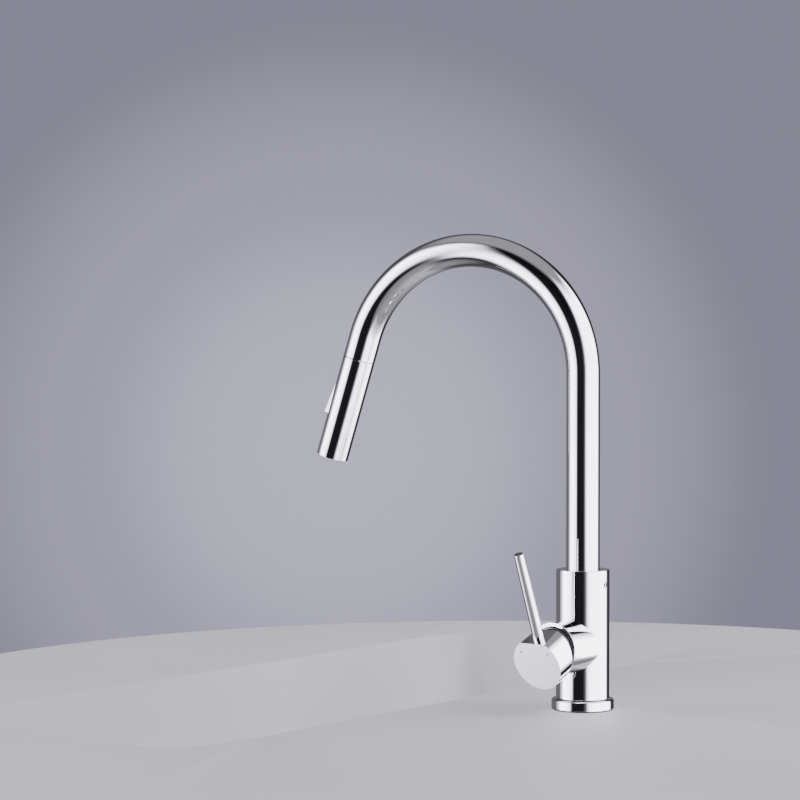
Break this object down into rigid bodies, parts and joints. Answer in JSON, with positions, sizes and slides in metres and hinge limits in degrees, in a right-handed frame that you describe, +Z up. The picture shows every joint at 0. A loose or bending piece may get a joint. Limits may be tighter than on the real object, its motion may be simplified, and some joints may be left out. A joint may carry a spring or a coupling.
{
  "type": "pull-down kitchen faucet",
  "caption": "Deck-mounted gooseneck kitchen faucet with a pull-down spray head, a swivelling spout and a side lever valve.",
  "frame": {"origin": "centre of the base on the deck surface, on the column's axis", "axes": "+Z up along the column, +X out along the side valve towards the handle, -Y is the spout's middle position; the spout is stored swung 11.7 degrees from it towards the handle"},
  "size_m": [0.1238, 0.2724, 0.4924],
  "materials": {
    "chrome": "polished",
    "satin_chrome": "satin",
    "brass": "machined",
    "zinc_steel": "zinc plated",
    "steel": "satin",
    "black_rubber": "matt",
    "grey_rubber": "soft matt",
    "white_plastic": "fine matt",
    "grey_plastic": "fine matt",
    "black_plastic": "fine matt",
    "button_plastic": "gloss",
    "ceramic": "lapped ceramic",
    "braid": "woven nylon sleeve",
    "hot_mark": "gloss",
    "cold_mark": "gloss"
  },
  "bodies": {
    "deck_body": {"body_casting": "chrome", "port_block": "brass", "base_flange": "chrome", "flange_seal_ring": "black_rubber", "base_gasket": "black_rubber", "threaded_shank": "brass", "deck_rubber_washer": "black_rubber", "deck_steel_washer": "zinc_steel", "mounting_nut": "brass", "nut_jack_screws": "steel", "spout_set_screw": "steel", "hose_guide_bush": "white_plastic", "hose_lower_fitting": "brass", "cartridge_base": "grey_plastic", "cartridge_base_seals": "black_rubber", "fixed_ceramic_disc": "ceramic", "cartridge_housing": "white_plastic", "cartridge_nut": "brass", "trim_dome": "black_plastic"},
    "spout": {"spout_tube": "chrome", "spout_sleeve": "brass", "upper_slide_ring": "white_plastic", "lower_slide_ring": "white_plastic", "docking_collar": "black_plastic"},
    "hose_end": {"pull_hose": "braid", "hose_top_fitting": "brass"},
    "head": {"head_shell": "chrome", "head_neck": "black_plastic", "neck_friction_ring": "black_rubber", "inlet_washer": "black_rubber", "check_valve": "white_plastic", "head_core": "black_plastic", "button_pin": "steel", "spray_face": "grey_plastic", "nozzle_mat": "grey_rubber", "aerator_insert": "grey_plastic", "aerator_mesh": "white_plastic"},
    "button": {"spray_button": "button_plastic"},
    "diverter": {"diverter_spool": "white_plastic"},
    "rotor": {"cartridge_rotor": "grey_plastic"},
    "disc": {"moving_ceramic_disc": "ceramic", "disc_carrier": "grey_plastic"},
    "lever": {"lever_stem": "brass", "stem_pin": "steel", "handle_cap": "chrome", "lever_pin": "chrome", "handle_set_screw": "steel", "set_screw_plug": "satin_chrome", "hot_dot": "hot_mark", "cold_dot": "cold_mark"}
  },
  "joints": [
    {"name": "spout_swivel", "type": "hinge", "parent": "deck_body", "child": "spout", "pos_m": [0, 0, 0.1], "axis": [0, 0, 1], "range_deg": [-71.7, 48.3]},
    {"name": "head_pull", "type": "slide", "parent": "spout", "child": "hose_end", "axis": [0.0603, -0.2912, -0.9548], "range_m": [0, 0.4], "stiffness_N_per_m": 5, "springref_m": -1.2, "deforming": ["pull_hose"]},
    {"name": "head_spin", "type": "hinge", "parent": "hose_end", "child": "head", "pos_m": [0.04243, -0.20489, 0.29033], "axis": [0.0603, -0.2912, -0.9548], "continuous": true},
    {"name": "button_rock", "type": "hinge", "parent": "head", "child": "button", "pos_m": [0.04634, -0.22379, 0.25864], "axis": [0.9792, 0.2028, 0], "range_deg": [0, 9]},
    {"name": "diverter_slide", "type": "slide", "parent": "head", "child": "diverter", "axis": [-0.0603, 0.2912, 0.9548], "range_m": [0, 0.00094]},
    {"name": "lever_mix", "type": "hinge", "parent": "deck_body", "child": "rotor", "pos_m": [0.035, 0, 0.0538], "axis": [1, 0, 0], "range_deg": [-45, 45]},
    {"name": "lever_flow", "type": "hinge", "parent": "rotor", "child": "lever", "pos_m": [0.04, 0, 0.0538], "axis": [0, 1, 0], "range_deg": [-21.9, 2.1]},
    {"name": "disc_slide", "type": "slide", "parent": "rotor", "child": "disc", "axis": [0, 0, 1], "range_m": [-0.0046, 0.0006]}
  ],
  "couplings": [
    {"joint": "button_rock", "follows": "diverter_slide", "rad_per_m": 166.67},
    {"joint": "disc_slide", "follows": "lever_flow", "m_per_rad": 0.01171}
  ]
}
